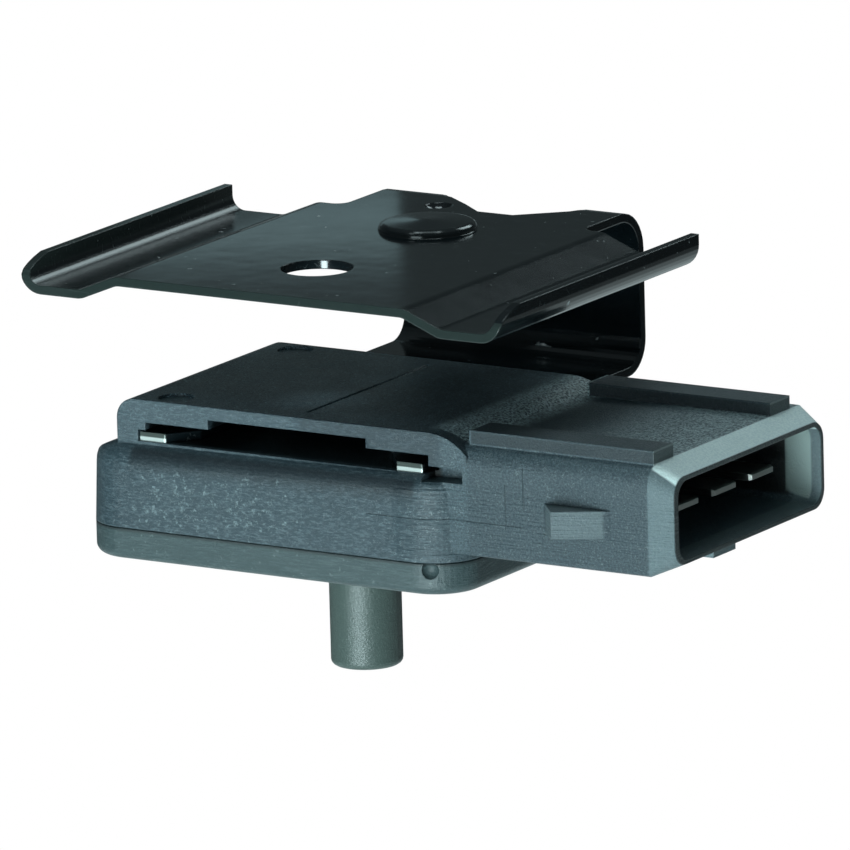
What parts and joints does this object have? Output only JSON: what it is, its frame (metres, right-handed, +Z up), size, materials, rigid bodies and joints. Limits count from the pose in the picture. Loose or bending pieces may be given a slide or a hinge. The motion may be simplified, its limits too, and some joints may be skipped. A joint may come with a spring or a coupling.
{
  "type": "manifold absolute pressure sensor",
  "caption": "Flat rectangular pressure sensor with a hose nipple below, a rectangular connector shroud at one end and a folded sheet-metal bracket clipped over its top.",
  "frame": {"origin": "on the hose nipple's axis, at the underside of the bottom cover", "axes": "+X out of the connector's mouth, +Y towards the bracket's back wall, +Z up through the bracket's plate"},
  "size_m": [0.061, 0.0423, 0.035],
  "materials": {
    "housing_plastic": "moulded, dark slate grey, faintly speckled",
    "cover_plastic": "moulded, dark slate grey",
    "coated_steel": "gloss black coating",
    "tinned_brass": "bright tin plating",
    "alumina": "matte white",
    "silicone": "matte grey",
    "silicon": "polished",
    "borosilicate": "clear",
    "ring_plastic": "matte",
    "gel": "clear soft gel",
    "chip_resin": "matte black",
    "capacitor_ceramic": "satin",
    "resistor_film": "satin",
    "link_metal": "bright"
  },
  "bodies": {
    "root": {"housing": "housing_plastic", "bottom_cover": "cover_plastic", "bracket": "coated_steel", "terminal_1": "tinned_brass", "terminal_2": "tinned_brass", "terminal_3": "tinned_brass", "circuit_ceramic": "alumina", "ceramic_adhesive": "silicone", "sensor_die": "silicon", "glass_pedestal": "borosilicate", "gel_ring": "ring_plastic", "protective_gel": "gel", "port_seal": "silicone", "cover_seal": "silicone", "amplifier_chip": "chip_resin", "capacitor_1": "capacitor_ceramic", "capacitor_2": "capacitor_ceramic", "capacitor_3": "capacitor_ceramic", "trim_resistor_1": "resistor_film", "trim_resistor_2": "resistor_film", "link_1": "link_metal", "link_2": "link_metal", "link_3": "link_metal"}
  },
  "joints": []
}
